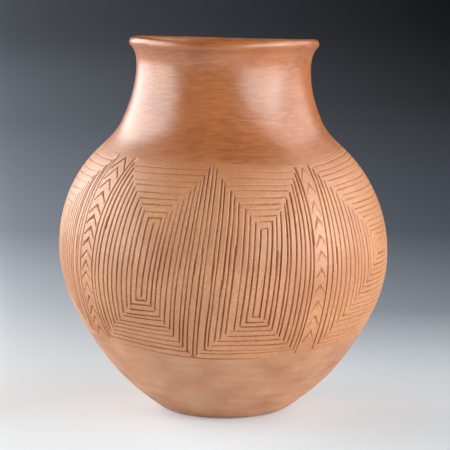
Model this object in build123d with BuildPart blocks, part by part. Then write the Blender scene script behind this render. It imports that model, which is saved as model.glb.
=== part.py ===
"""Coil-built pottery jar: a base pressed in a dish, rings of clay luted one on another, and a slipped neck.

Frame: +Z up, origin at the centre of the standing face. Millimetres.
Every clay piece is a ring cut from one wall section, and neighbours meet on the same lap joint.
The main lines of the incised band are cut into the coils of the belly.
"""

import os
from collections import namedtuple
from math import cos, degrees, radians, sin

from build123d import *

# Standing face and floor
BASE_RADIUS = 44.0
FOOT_FLARE = 55.0  # degrees from upright, where the wall leaves the standing face
FLOOR_THICKNESS = 8.5

# Plain lower wall, from the standing face to the foot of the incised band
LOWER_HEIGHT = 51.7
BAND_FOOT_RADIUS = 93.2
BAND_FOOT_FLARE = 32.5

# Belly: the widest place, where the wall stands upright, above the foot of the band
BELLY_RISE = 60.6
BELLY_RADIUS = 113.2

# Slip line, where the incised band ends and the polished neck begins, above the belly
SHOULDER_RISE = 65.0
SLIP_LINE_RADIUS = 87.0
SLIP_LINE_LEAN = 44.5

# Neck root, where the shoulder turns up into the neck, above the slip line
NECK_ROOT_RISE = 20.7
NECK_ROOT_RADIUS = 68.7
NECK_ROOT_LEAN = 23.0

# Waist of the neck, its narrowest place, above the root
NECK_RISE = 38.5
WAIST_RADIUS = 59.7

# Rim: the height and overhang of the finished lip, slip included, measured from the waist
RIM_RISE = 17.5
RIM_OVERHANG = 6.2
LIP_RADIUS = 3.4
LIP_FLARE = 46.0

# Wall thickness, which the potter thins towards the neck
LOWER_WALL = 7.5
BELLY_WALL = 6.5
NECK_WALL = 6.0

# Slip: a polished skin of finer clay on the neck, over the lip and inside as far as the waist
SLIP_THICKNESS = 0.3

# Coils in each stretch of the wall, and the lap at which each is luted inside the one below
LOWER_COILS = 2
BELLY_COILS = 6
NECK_COILS = 3
LAP_ANGLE = 30.0  # degrees between a joint and the wall's own normal

# Incised band: columns of chevrons stand round the belly, with two panels between one column and the next.
# Only the main lines are cut: in each panel one of its nested rectangles, and the line down their core.
# Widths are measured at the widest place.
LINE_WIDTH = 1.2
UPRIGHT_DEPTH = 0.9  # the lines that run up the wall are cut deeper than those round it
LEVEL_DEPTH = 0.6
CHEVRON_DEPTH = 0.7
BORDER_INSET = 2.4  # from the band's foot, and from the slip line, to the middle of the border line
COLUMNS = 4
FIRST_COLUMN = 34.0  # degrees round from the front
COLUMN_WIDTH = 14.0
CHEVRON_PITCH = 19.0
CHEVRON_WIDTH = 8.0
CHEVRON_DROP = 6.8
RECTANGLE_INSET = 20.0  # from the panel's sides and from the border lines
CORE_HEIGHT = 55.0

# Heights above the standing face
BAND_FOOT_HEIGHT = LOWER_HEIGHT
BELLY_HEIGHT = BAND_FOOT_HEIGHT + BELLY_RISE
SLIP_LINE_HEIGHT = BELLY_HEIGHT + SHOULDER_RISE
NECK_ROOT_HEIGHT = SLIP_LINE_HEIGHT + NECK_ROOT_RISE
WAIST_HEIGHT = NECK_ROOT_HEIGHT + NECK_RISE
JAR_HEIGHT = WAIST_HEIGHT + RIM_RISE

CLAY_LIP_RADIUS = LIP_RADIUS - SLIP_THICKNESS
JOINT_REACH = 2 * max(LOWER_WALL, BELLY_WALL, NECK_WALL)  # a cut this long always crosses the wall

# A place on the wall: a point on its outer face, the way the wall runs up there, and its thickness.
# Points are (radius, height).
Station = namedtuple("Station", "point direction wall")


def lean(degrees):
    """The direction of a wall that leans outwards by this angle as it rises."""
    return Vector(sin(radians(degrees)), cos(radians(degrees)))


def inward(direction):
    """The direction square to the wall, from its outer face to its inner face."""
    return Vector(-direction.Y, direction.X)


def face_curve(stations, depth):
    """A smooth curve past the stations, sunk below the outer face by depth(station)."""
    points = [place.point + inward(place.direction) * depth(place) for place in stations]
    return Spline(*points, tangents=[place.direction for place in stations])


def outer_face(place):
    return 0.0


def inner_face(place):
    return place.wall


def slip_outside(place):
    return -SLIP_THICKNESS


def slip_inside(place):
    return place.wall + SLIP_THICKNESS


lip_centre = Vector(WAIST_RADIUS + RIM_OVERHANG - LIP_RADIUS, JAR_HEIGHT - LIP_RADIUS)
lip_direction = lean(LIP_FLARE)
lip_start = lip_centre - inward(lip_direction) * CLAY_LIP_RADIUS

foot = Station(Vector(BASE_RADIUS, 0), lean(FOOT_FLARE), LOWER_WALL)
band_foot = Station(Vector(BAND_FOOT_RADIUS, BAND_FOOT_HEIGHT), lean(BAND_FOOT_FLARE), LOWER_WALL)
belly = Station(Vector(BELLY_RADIUS, BELLY_HEIGHT), lean(0), BELLY_WALL)
slip_line = Station(Vector(SLIP_LINE_RADIUS, SLIP_LINE_HEIGHT), lean(-SLIP_LINE_LEAN), BELLY_WALL)
neck_root = Station(Vector(NECK_ROOT_RADIUS, NECK_ROOT_HEIGHT), lean(-NECK_ROOT_LEAN), NECK_WALL)
waist = Station(Vector(WAIST_RADIUS, WAIST_HEIGHT), lean(0), NECK_WALL)
lip = Station(lip_start, lip_direction, 2 * CLAY_LIP_RADIUS)

belly_stations = (band_foot, belly, slip_line)
neck_stations = (slip_line, neck_root, waist)
rim_stations = (waist, lip)


def lip_arc(radius):
    """The round of the lip, from its outer face over the top to its inner face."""
    step_in = inward(lip_direction) * radius
    top = lip_centre + lip_direction * radius
    return ThreePointArc(lip_centre - step_in, top, lip_centre + step_in)


# The whole clay wall in section, from the axis out, up the outer face, over the lip and down inside
with BuildSketch() as wall_section:
    with BuildLine():
        standing_face = Line((0, 0), foot.point)
        lower_wall = face_curve((foot, band_foot), outer_face)
        belly_wall = face_curve(belly_stations, outer_face)
        neck_wall = face_curve(neck_stations, outer_face)
        rim_wall = face_curve(rim_stations, outer_face)
        clay_lip = lip_arc(CLAY_LIP_RADIUS)
        rim_inside = face_curve(rim_stations, inner_face)
        neck_inside = face_curve(neck_stations, inner_face)
        belly_inside = face_curve(belly_stations, inner_face)
        # The floor sweeps up into the wall, which has its full thickness halfway to the band
        floor_centre = Station(Vector(0, FLOOR_THICKNESS), lean(90), 0.0)
        halfway = Station(lower_wall @ 0.5, lower_wall % 0.5, LOWER_WALL)
        floor_and_lower_inside = face_curve((floor_centre, halfway, band_foot), inner_face)
        axis_line = Line((0, 0), floor_centre.point)
    make_face()


def lap_joint(wall_curve, share):
    """The ends of the cut between two rings: outside the wall, then in and down to inside the hollow."""
    direction = wall_curve % share
    cut = inward(direction) * cos(radians(LAP_ANGLE)) - direction * sin(radians(LAP_ANGLE))
    return wall_curve @ share - cut * JOINT_REACH, wall_curve @ share + cut * JOINT_REACH


# The incised band: where its lines go, and the cutters that take them out of the wall's skin
BORDER_LOW = BAND_FOOT_HEIGHT + BORDER_INSET
BORDER_HIGH = SLIP_LINE_HEIGHT - BORDER_INSET


def turn(width):
    """The angle, in degrees about the axis, that a width at the widest place takes up."""
    return degrees(width / BELLY_RADIUS)


def meridian(azimuth):
    """The plane through the axis at this angle from the X axis, with its Y axis up."""
    angle = radians(azimuth)
    return Plane(origin=(0, 0, 0), x_dir=(cos(angle), sin(angle), 0), z_dir=(sin(angle), -cos(angle), 0))


# A cutter, and the heights that it reaches down and up to
BandLine = namedtuple("BandLine", "cutter low high")


def band_line(start, arc, low, high, depth):
    """A line cut this deep into the wall, through an arc from its start azimuth, between two heights."""
    with BuildPart() as cutter:
        with BuildSketch(meridian(start)):
            with BuildLine():
                bottom = face_curve(belly_stations, lambda place: depth)
                clear = face_curve(belly_stations, lambda place: -depth)
                Line(bottom @ 0, clear @ 0)
                Line(bottom @ 1, clear @ 1)
            make_face()
            with Locations((BELLY_RADIUS, (low + high) / 2)):
                Rectangle(2 * BELLY_RADIUS, high - low, mode=Mode.INTERSECT)
        revolve(axis=Axis.Z, revolution_arc=arc)
    return BandLine(cutter.part, low, high)


def upright(azimuth, low, high):
    arc = turn(LINE_WIDTH)
    return band_line(azimuth - arc / 2, arc, low, high, UPRIGHT_DEPTH)


def level(start, arc, height):
    return band_line(start, arc, height - LINE_WIDTH / 2, height + LINE_WIDTH / 2, LEVEL_DEPTH)


def panel_lines(middle, half_turn):
    """The main lines of the panel that reaches half_turn to each side of its middle."""
    reach = half_turn - turn(RECTANGLE_INSET)
    low = BORDER_LOW + RECTANGLE_INSET
    high = BORDER_HIGH - RECTANGLE_INSET
    return [
        upright(middle - reach, low, high),
        upright(middle + reach, low, high),
        level(middle - reach, 2 * reach, low),
        level(middle - reach, 2 * reach, high),
        upright(middle, BELLY_HEIGHT - CORE_HEIGHT / 2, BELLY_HEIGHT + CORE_HEIGHT / 2),
    ]


def chevron(azimuth, share):
    """One chevron of a column, pointing up, with its feet at this share of the way up the band."""
    foot_point = belly_wall @ share
    out = -inward(belly_wall % share)
    tangent_plane = Plane(origin=(foot_point.X, 0, foot_point.Y), x_dir=(0, 1, 0), z_dir=(out.X, 0, out.Y))
    with BuildPart() as cutter:
        with BuildSketch(tangent_plane):
            with BuildLine():
                Polyline((-CHEVRON_WIDTH / 2, 0), (0, CHEVRON_DROP), (CHEVRON_WIDTH / 2, 0))
            trace(line_width=LINE_WIDTH)
        extrude(amount=CHEVRON_DEPTH, both=True)
    low = foot_point.Y - LINE_WIDTH
    high = foot_point.Y + CHEVRON_DROP + LINE_WIDTH
    return BandLine(cutter.part.rotate(Axis.Z, azimuth), low, high)


# The border lines, then for each repeat of the pattern a column, the line halfway to the next column,
# and the panels at the column's two sides
band_lines = [level(0, 360, height) for height in (BORDER_LOW, BORDER_HIGH)]
column_side = turn(COLUMN_WIDTH) / 2
divider = 180 / COLUMNS
chevrons = int(belly_wall.length / CHEVRON_PITCH)
for column in range(COLUMNS):
    azimuth = FIRST_COLUMN - 90 + 360 / COLUMNS * column
    for step in (-column_side, column_side, divider):
        band_lines.append(upright(azimuth + step, BORDER_LOW, BORDER_HIGH))
    for side in (-1, 1):
        band_lines += panel_lines(azimuth + side * (divider + column_side) / 2, (divider - column_side) / 2)
    band_lines += [chevron(azimuth, (number + 0.5) / chevrons) for number in range(chevrons)]


def finish_piece(piece, name):
    piece.part.label = name
    export_step(piece.part, f"parts/{name}.step")


def make_ring(name, corners):
    """Cut one ring's section out of the wall between these corners, and turn it about the axis.
    A coil of the belly has the band's lines cut into it."""
    with BuildPart() as ring:
        with BuildSketch(Plane.XZ):
            add(wall_section.sketch)
            with BuildLine():
                Polyline(*corners, close=True)
            make_face(mode=Mode.INTERSECT)
        revolve(axis=Axis.Z)
        if name.startswith("belly"):
            box = ring.part.bounding_box()
            reaching = [line.cutter for line in band_lines if line.high > box.min.Z and line.low < box.max.Z]
            add(reaching, mode=Mode.SUBTRACT)
    finish_piece(ring, name)


os.makedirs("parts", exist_ok=True)

# The joints from the base upwards, and the coil that lies on each. The base is the lower wall's first ring.
joints = []
for wall_curve, rings in ((lower_wall, LOWER_COILS + 1), (belly_wall, BELLY_COILS), (neck_wall, NECK_COILS)):
    joints += [lap_joint(wall_curve, (ring + 1) / rings) for ring in range(rings)]
coil_names = []
for stretch, coils in (("lower", LOWER_COILS), ("belly", BELLY_COILS), ("neck", NECK_COILS)):
    coil_names += [f"{stretch}_coil_{coil + 1}" for coil in range(coils)]

# Base, pressed in a shallow dish: all the clay below the first joint
outer_end, inner_end = joints[0]
below = -JOINT_REACH
make_ring("base_pancake", [(0, below), (outer_end.X, below), outer_end, inner_end, (0, inner_end.Y)])

# Coils of the wall, each between its joint and the next
for name, (lower_out, lower_in), (upper_out, upper_in) in zip(coil_names, joints, joints[1:]):
    make_ring(name, [lower_out, lower_in, upper_in, upper_out])

# Rim coil: all the clay above the last joint
outer_end, inner_end = joints[-1]
above = JAR_HEIGHT + JOINT_REACH
make_ring("rim_coil", [outer_end, inner_end, (inner_end.X, above), (outer_end.X + RIM_OVERHANG, above)])

# Slip on the neck, over the lip and down to the waist inside, lying on the clay all over
with BuildPart() as neck_slip:
    with BuildSketch(Plane.XZ):
        with BuildLine():
            neck_skin = face_curve(neck_stations, slip_outside)
            rim_skin = face_curve(rim_stations, slip_outside)
            lip_arc(LIP_RADIUS)
            inside_skin = face_curve(rim_stations, slip_inside)
            Line(neck_wall @ 0, neck_skin @ 0)
            Line(rim_inside @ 0, inside_skin @ 0)
            add([neck_wall, rim_wall, clay_lip, rim_inside])
        make_face()
    revolve(axis=Axis.Z)
finish_piece(neck_slip, "neck_slip")
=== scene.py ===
import math
import random
from collections import namedtuple

import bpy
import numpy as np
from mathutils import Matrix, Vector
from mathutils.geometry import delaunay_2d_cdt
from mathutils.kdtree import KDTree


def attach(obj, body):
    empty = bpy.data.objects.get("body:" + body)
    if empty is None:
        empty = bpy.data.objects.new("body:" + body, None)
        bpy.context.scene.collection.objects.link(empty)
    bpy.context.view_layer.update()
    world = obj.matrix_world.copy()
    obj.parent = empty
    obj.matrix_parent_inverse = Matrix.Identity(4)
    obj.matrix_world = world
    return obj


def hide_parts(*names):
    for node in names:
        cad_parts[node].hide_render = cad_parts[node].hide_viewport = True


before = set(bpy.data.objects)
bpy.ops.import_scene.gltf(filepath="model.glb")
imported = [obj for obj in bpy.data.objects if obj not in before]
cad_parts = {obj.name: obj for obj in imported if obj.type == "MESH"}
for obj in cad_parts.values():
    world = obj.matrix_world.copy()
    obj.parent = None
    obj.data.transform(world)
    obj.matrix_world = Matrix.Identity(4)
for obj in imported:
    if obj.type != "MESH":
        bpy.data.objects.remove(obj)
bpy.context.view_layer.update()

# Sizes are in millimetres and angles in degrees until a mesh is made. Azimuth 0 faces the viewer and grows
# to the right. A run is a distance along the wall in section, measured from the foot.
MM = 0.001
FULL_TURN = 2 * math.pi

# Stations of the wall's outer face, close to the solids': radius, height, and lean outwards from upright
FOOT = (44.8, 0.0, 54.0)
BAND_FOOT = (93.6, 51.7, 32.5)
BELLY = (113.2, 112.3, 0.0)
SLIP_LINE = (86.6, 177.3, -46.0)
NECK_ROOT = (68.6, 198.0, -23.0)
WAIST = (59.8, 236.5, 0.0)
RIM_RADIUS = 64.8
JAR_HEIGHT = 254.0
LIP_RADIUS = 3.4
LIP_FLARE = 46.0
# Where the inner face leaves the floor of the jar for the wall
INNER_BEND = (71.2, 23.4, 43.0)
FLOOR_THICKNESS = 8.5
LOWER_WALL = 7.5
BELLY_WALL = 6.5
NECK_WALL = 6.0

# How the hand-built jar strays from a true turning
RIM_WAVES_FROM = 150.0  # height where the rim's rise and fall begins
# How far the jar's middle strays to the right at some heights
SIDE_DRIFT = (
    (0.0, 1.4),
    (25.0, 1.5),
    (55.0, 1.7),
    (85.0, 1.0),
    (115.0, 0.0),
    (150.0, -0.7),
    (180.0, -1.6),
    (205.0, -0.5),
    (230.0, 0.4),
    (254.0, 1.0),
)
DRIFT_BENDS = 6
FOOT_OVAL = 1.8  # the foot is longer from front to back
FOOT_OVAL_HEIGHT = 28.0
FOOT_ROUNDING = 4.5  # how far up the wall the worn edge of the standing face reaches
# Lumps are overlaid waves round the wall, each with its own lobes, lean and share of the height
LUMPS = 26
LUMP_HEIGHT = 0.075
LUMP_LOBES = (1, 9)
LUMP_LEAN = 0.12
LUMP_SHARE = (0.4, 1.0)
LUMPS_FULL_FROM = 20.0  # height down to which the lumps keep their size; they end at the standing face

# Incised strokes. Each is one pass of a pointed tool, with its own width and depth.
STROKE_HALF_WIDTH = 0.55
STROKE_DEPTH = 1.0
FIRMEST_CUT = 1.4  # in stroke depths; a cut firmer than this gets no wider
LIGHTEST_WIDTH = 0.6  # the share of its width that the lightest cut has
CUT_ROUNDING = 1.25
BURR_HEIGHT = 0.12  # how high the tool pushes clay up at both sides of a stroke
BURR_PLACE = 1.2  # where the burr is highest, in half widths from the stroke's middle
BURR_SPREAD = 0.45
DISH_SHARE = 0.09  # how much of the depth is a dish that rounds the ridges between strokes
DISH_REACH = 1.15
# How far a stroke may stop short of the line where it should end: a stroke down a panel, a level one, a
# level one at the core, a line down the band and a chevron's leg. Of that it takes a share, and with a share
# below 0 it runs past the line.
END_SCATTER = 1.2
LEVEL_END_SCATTER = 2.4
LEAST_LEVEL_SCATTER = 0.4
LINE_SCATTER = 0.6
LEG_SCATTER = 0.5
END_MISS = (-0.4, 1.0)
SHORTEST_STROKE = 2.0
# A stroke sways off its line in a few overlaid waves, and its pressure trembles in one. No two are equally
# firm or wide.
STROKE_WANDER = 0.09
WANDER_WAVES = 3
WANDER_SHARE = (0.3, 1.0)
WANDER_LENGTH = (5.0, 22.0)
TREMBLE = 0.22
TREMBLE_LENGTH = (5.0, 20.0)
FIRMNESS_SPREAD = (0.8, 1.15)
WIDTH_SPREAD = (0.85, 1.15)
# A stroke longer than this may be cut in two passes, which overlap and lie a little apart
TWO_PASS_LENGTH = 55.0
TWO_PASS_SHARE = 0.35
PASS_BREAK = (0.3, 0.7)
PASS_OVERLAP = (1.0, 6.0)
PASS_OFFSET = 0.45
# How many places lay out a line down the band, a stroke down a panel, a shorter stroke, and a chevron's leg
LINE_PLACES = 15
DOWN_PLACES = 9
SHORT_PLACES = 7
LEG_PLACES = 4
LINE_INSETS = (0.6, 0.8)  # from the band's top and bottom to the ends of a line down it
CORE_INSET = 2.5  # from the top and bottom of a panel's core to the ends of the strokes in it
UNEVEN_SPACING = 0.16  # how far the strokes of a set stray, in spacings
FIRST_CHEVRON = 1.5  # from the top of a column to its first chevron
CHEVRON_DROP = 6.8  # how far a chevron's legs fall from its point
LEG_DROP_SPREAD = (0.85, 1.2)
LEG_REACH_SPREAD = (0.85, 1.1)
PITCH_SPREAD = (0.86, 1.14)

# Meshes start and end at a meridian behind the jar, and share the azimuths of their rings.
SEAM = -183.0
RING_STEPS = 288
RING = np.radians(SEAM + 360.0 / RING_STEPS * np.arange(RING_STEPS))
SHARP_EDGE = 75.0  # an edge that turns by more than this isn't smoothed over
# Spacing of the rows on the plain lower wall, the neck, the neck's inside and the inside below it
PLAIN_ROW = 2.4
NECK_ROW = 2.0
NECK_INNER_ROW = 4.0
INNER_ROW = 7.0
SLIPPED_INNER_ROWS = 4  # how many rows of the neck's inside the slip covers
LIP_STEPS = 16
FACE_RINGS = (9.0, 20.0, 31.0)  # radii of the rings on the standing face
FOOT_EDGE_STEPS = 7
FLOOR_RING = 6.0  # radius of the last ring on the floor of the jar
BORDER_ROWS = (0.0, 0.3, 0.6, 1.05, 2.0)  # rows beside a border line, to shape its cut
BAND_BORDER_ROWS = BORDER_ROWS[1:4]  # the ones on the band's side, besides the line itself
# Spacing of the points that a cut's depth is measured from, and of the band's cross sections along a stroke
SAMPLE_STEP = 0.6
LEAST_SAMPLES = 4
SECTION_STEP = 2.2
LEAST_SECTIONS = 3
# The band's rows along a stroke, in half widths from its middle, and how much nearer another stroke may be
RAILS = (-2.3, -1.2, -0.55, 0.0, 0.55, 1.2, 2.3)
RAIL_MARGIN = 0.12
RAIL_BORDER_GAP = BAND_BORDER_ROWS[-1] + 0.3
# The loose grid where nothing is cut, and how far it stays from the rails and the borders
FILL_STEP = 3.2
FILL_ROW = 0.87 * FILL_STEP
FILL_RAIL_GAP = 0.9
FILL_BORDER_GAP = 2.4
SEAM_GAP = 0.01  # in radians, from the seam to the nearest rail; the grid stays twice as far
SEAM_ROWS = 52
BAND_FLAT_RADIUS = 105.0  # the radius at which the band is unrolled to be meshed
MERGE_DISTANCE = 1e-4
TRIANGLES_INSIDE = 1  # what the mesher is to give: triangles within the outline

SLIP_EDGE = 9.0  # how far the slip takes to thin out at its lower edge


def upward(lean):
    """Direction, as (radius, height), of a wall with this lean."""
    return np.array([math.sin(math.radians(lean)), math.cos(math.radians(lean))])


def spline(t, here, leaving, there, arriving):
    """A smooth way from here to there, with these slopes at its two ends, as t goes from 0 to 1."""
    return (
        (2 * t**3 - 3 * t**2 + 1) * here
        + (t**3 - 2 * t**2 + t) * leaving
        + (3 * t**2 - 2 * t**3) * there
        + (t**3 - t**2) * arriving
    )


def wall_curve(stations, sinks, step=0.5):
    """Points on a smooth curve past these stations, each sunk into the wall by its share of sinks."""
    directions = [upward(lean) for _, _, lean in stations]
    knots = [
        np.array([radius, height]) + sink * np.array([-along[1], along[0]])
        for (radius, height, _), along, sink in zip(stations, directions, sinks)
    ]
    stretches = []
    for here, there, leaving, arriving in zip(knots, knots[1:], directions, directions[1:]):
        span = np.linalg.norm(there - here)
        t = np.linspace(0.0, 1.0, int(span / step), endpoint=False)[:, None]
        stretches.append(spline(t, here, span * leaving, there, span * arriving))
    return np.concatenate([*stretches, knots[-1][None]])


class WallFace:
    """One face of the wall in section. Places on it are given by their run."""

    def __init__(self, points):
        self.points = points
        self.runs = np.concatenate([[0.0], np.cumsum(np.linalg.norm(np.diff(points, axis=0), axis=1))])
        self.length = self.runs[-1]
        slope = np.gradient(points, self.runs, axis=0)
        slope /= np.linalg.norm(slope, axis=1)[:, None]
        self.normals = np.stack([slope[:, 1], -slope[:, 0]], axis=1)

    def at(self, run):
        return [np.interp(run, self.runs, column) for column in self.points.T]

    def outward(self, run):
        return [np.interp(run, self.runs, column) for column in self.normals.T]

    def run_at(self, height):
        return np.interp(height, self.points[:, 1], self.runs)


lip_middle = np.array([RIM_RADIUS - LIP_RADIUS, JAR_HEIGHT - LIP_RADIUS])
lip_outward = LIP_RADIUS * np.array([math.cos(math.radians(LIP_FLARE)), -math.sin(math.radians(LIP_FLARE))])
LIP = (*(lip_middle + lip_outward), LIP_FLARE)
OUTSIDE = WallFace(wall_curve((FOOT, BAND_FOOT, BELLY, SLIP_LINE, NECK_ROOT, WAIST, LIP), [0.0] * 7))
jar_floor = wall_curve(((0.0, FLOOR_THICKNESS, 90.0), INNER_BEND, BAND_FOOT), (0.0, LOWER_WALL, LOWER_WALL))
inner_wall = wall_curve(
    (BAND_FOOT, BELLY, SLIP_LINE, NECK_ROOT, WAIST, LIP),
    (LOWER_WALL, BELLY_WALL, BELLY_WALL, NECK_WALL, NECK_WALL, 2 * LIP_RADIUS),
)
INSIDE = WallFace(np.concatenate([jar_floor[:-1], inner_wall]))

lump_dice = random.Random(11)
lumps = [
    (
        lump_dice.randint(*LUMP_LOBES),
        lump_dice.uniform(-LUMP_LEAN, LUMP_LEAN),
        lump_dice.uniform(0, FULL_TURN),
        LUMP_HEIGHT * lump_dice.uniform(*LUMP_SHARE),
    )
    for _ in range(LUMPS)
]
drift = np.polynomial.Polynomial.fit(*zip(*SIDE_DRIFT), DRIFT_BENDS)


def hand_line(*knots):
    """A line drawn by hand round the jar: a smooth function of azimuth, past (azimuth, value) knots."""
    azimuths, values = np.array(knots, float).T
    azimuths = np.concatenate([azimuths[-2:] - 360.0, azimuths, azimuths[:2] + 360.0])
    values = np.concatenate([values[-2:], values, values[:2]])
    slopes = np.gradient(values, azimuths)

    def line(azimuth):
        a = (np.asarray(azimuth, float) - SEAM) % 360.0 + SEAM
        i = np.clip(np.searchsorted(azimuths, a) - 1, 0, len(azimuths) - 2)
        span = azimuths[i + 1] - azimuths[i]
        t = (a - azimuths[i]) / span
        return spline(t, values[i], span * slopes[i], values[i + 1], span * slopes[i + 1])

    return line


# How much higher than the jar's height the rim is on its way round
rim_rise = hand_line(
    (-150, 0.4),
    (-120, 1.7),
    (-90, 2.6),
    (-60, 2.6),
    (-30, 1.6),
    (0, 1.1),
    (25, 1.7),
    (50, 1.7),
    (75, 0.9),
    (95, 0.0),
    (120, -0.9),
    (150, -1.4),
    (180, -1.0),
)


def place(face, azimuth, run, depth=0.0):
    """Points of the hand-built jar, sunk by depth below a face of its wall."""
    radius, height = face.at(run)
    out_radius, out_height = face.outward(run)
    swell = sum(
        size * np.sin(lobes * azimuth + lean * height + phase) for lobes, lean, phase, size in lumps
    )
    swell = swell * np.clip(height / LUMPS_FULL_FROM, 0.0, 1.0)
    oval = FOOT_OVAL * np.cos(2 * azimuth) * np.clip(1.0 - height / FOOT_OVAL_HEIGHT, 0.0, 1.0) ** 2
    radius = radius + out_radius * (swell - depth) + oval
    height = height + out_height * (swell - depth)
    waves = np.clip((height - RIM_WAVES_FROM) / (JAR_HEIGHT - RIM_WAVES_FROM), 0.0, 1.0) ** 2
    z = height + waves * rim_rise(np.degrees(azimuth))
    return np.stack([radius * np.sin(azimuth) + drift(height), -radius * np.cos(azimuth), z], axis=-1)


# Heights of the band's two border lines, which wander, and the depth of the cut along each
foot_line = hand_line(
    (-150, 55.0),
    (-100, 56.5),
    (-50, 56.8),
    (-25, 53.0),
    (-5, 50.4),
    (15, 50.2),
    (40, 53.0),
    (90, 55.5),
    (140, 54.0),
)
foot_line_depth = hand_line(
    (-150, 0.5),
    (-100, 0.4),
    (-50, 0.25),
    (-30, 0.6),
    (-10, 0.85),
    (5, 0.7),
    (18, 0.1),
    (40, 0.12),
    (90, 0.5),
    (140, 0.6),
)
top_line = hand_line(
    (-150, 178.0),
    (-110, 181.0),
    (-78, 182.4),
    (-60, 181.0),
    (-40, 179.6),
    (-20, 178.4),
    (-5, 177.7),
    (12, 176.6),
    (30, 175.0),
    (45, 177.0),
    (60, 179.6),
    (80, 181.6),
    (110, 180.4),
    (155, 177.0),
)
top_line_depth = hand_line(
    (-150, 0.2),
    (-60, 0.06),
    (-30, 0.05),
    (-20, 0.22),
    (-10, 0.05),
    (30, 0.04),
    (55, 0.15),
    (110, 0.2),
    (155, 0.2),
)
foot_runs = OUTSIDE.run_at(foot_line(np.degrees(RING)))
top_runs = OUTSIDE.run_at(top_line(np.degrees(RING)))

# Rough heights of the band, for laying out the lines down it
BAND_TOP = 176.0
BAND_MIDDLE = 115.0
BAND_BOTTOM = 54.0


def down_line(top, middle, bottom):
    """A line down the band: azimuth for a height, past its places at the top, the middle and the bottom."""
    bend = np.polyfit((BAND_TOP, BAND_MIDDLE, BAND_BOTTOM), (top, middle, bottom), 2)
    return lambda height: np.polyval(bend, height)


def corner_heights(edge):
    """Heights at which a line down the band meets the two border lines."""
    return float(top_line(edge(BAND_TOP))), float(foot_line(edge(BAND_BOTTOM)))


# Columns of chevrons: the left and right edge, the chevrons' pitch, how far their legs reach to the edges,
# and how firmly the chevrons are cut at the top and the bottom
Column = namedtuple("Column", "left right pitch reach firmness")
COLUMNS = (
    Column(down_line(-53.0, -56.5, -60.5), down_line(-42.2, -49.4, -52.3), 7.6, 0.75, (0.9, 1.2)),
    Column(down_line(32.2, 31.4, 28.9), down_line(39.4, 36.8, 36.4), 10.4, 0.72, (0.4, 1.1)),
    Column(down_line(119.0, 118.0, 117.0), down_line(126.5, 125.0, 125.0), 8.8, 0.7, (0.9, 0.9)),
    Column(down_line(-153.0, -153.5, -156.0), down_line(-144.5, -145.5, -148.0), 8.2, 0.7, (0.7, 0.9)),
)
# Lines that part the two panels between neighbouring columns
DIVIDERS = (
    down_line(-3.1, -7.4, -13.2),
    down_line(95.0, 95.0, 93.0),
    down_line(175.6, 175.6, 175.6),
    down_line(-97.0, -100.0, -104.0),
)
# The third divider again, as the left side of the panel beyond the seam
PAST_SEAM = down_line(-184.4, -184.4, -184.4)

# Panels of nested rectangles: the lines at their sides; the core that the rectangles close in on, as its
# left and right azimuth and its height, at the top and at the bottom; how many strokes the panel has at the
# left, top, right and bottom; how many run down the core; and the pressure, from left to right, of the
# strokes at the top
Panel = namedtuple("Panel", "sides core_top core_bottom counts core_strokes top_pressure")
PANELS = (
    Panel(
        (COLUMNS[0].right, DIVIDERS[0]),
        (-25.8, -20.8, 144.0),
        (-31.4, -27.2, 89.5),
        (10, 9, 10, 11),
        1,
        (0.45, 0.6),
    ),
    Panel(
        (DIVIDERS[0], COLUMNS[1].left),
        (13.0, 15.4, 138.0),
        (9.4, 11.8, 80.5),
        (10, 10, 10, 9),
        0,
        (0.25, 0.6),
    ),
    Panel(
        (COLUMNS[1].right, DIVIDERS[1]),
        (66.0, 77.5, 122.0),
        (66.4, 77.5, 113.0),
        (14, 17, 8, 17),
        0,
        (0.5, 0.45),
    ),
    Panel(
        (DIVIDERS[1], COLUMNS[2].left),
        (105.0, 108.0, 142.0),
        (103.5, 106.5, 86.0),
        (5, 9, 5, 9),
        1,
        (0.5, 0.6),
    ),
    Panel(
        (COLUMNS[2].right, DIVIDERS[2]),
        (148.5, 152.5, 139.0),
        (147.5, 151.0, 88.0),
        (12, 10, 12, 9),
        1,
        (0.4, 0.7),
    ),
    Panel(
        (PAST_SEAM, COLUMNS[3].left),
        (-170.0, -166.5, 143.0),
        (-171.0, -167.5, 85.0),
        (8, 9, 8, 9),
        1,
        (0.6, 0.4),
    ),
    Panel(
        (COLUMNS[3].right, DIVIDERS[3]),
        (-125.0, -120.5, 141.0),
        (-128.0, -123.5, 87.0),
        (11, 9, 11, 9),
        1,
        (0.4, 0.6),
    ),
    Panel(
        (DIVIDERS[3], COLUMNS[0].left),
        (-77.5, -72.5, 143.0),
        (-82.0, -77.0, 86.0),
        (10, 9, 10, 9),
        1,
        (0.32, 0.24),
    ),
)
# Pressure of the hand at the start and the end of a stroke
DOWN_PRESSURE = (0.75, 1.15)
BOTTOM_PRESSURE = (0.98, 0.85)
LEG_PRESSURE = (0.85, 0.6)
FIRMER_INWARD = (0.8, 1.25)  # how firmly the level strokes are cut at the panel's edge and at its core

Stroke = namedtuple("Stroke", "azimuth run half_width depth")
stroke_dice = random.Random(23)


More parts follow.
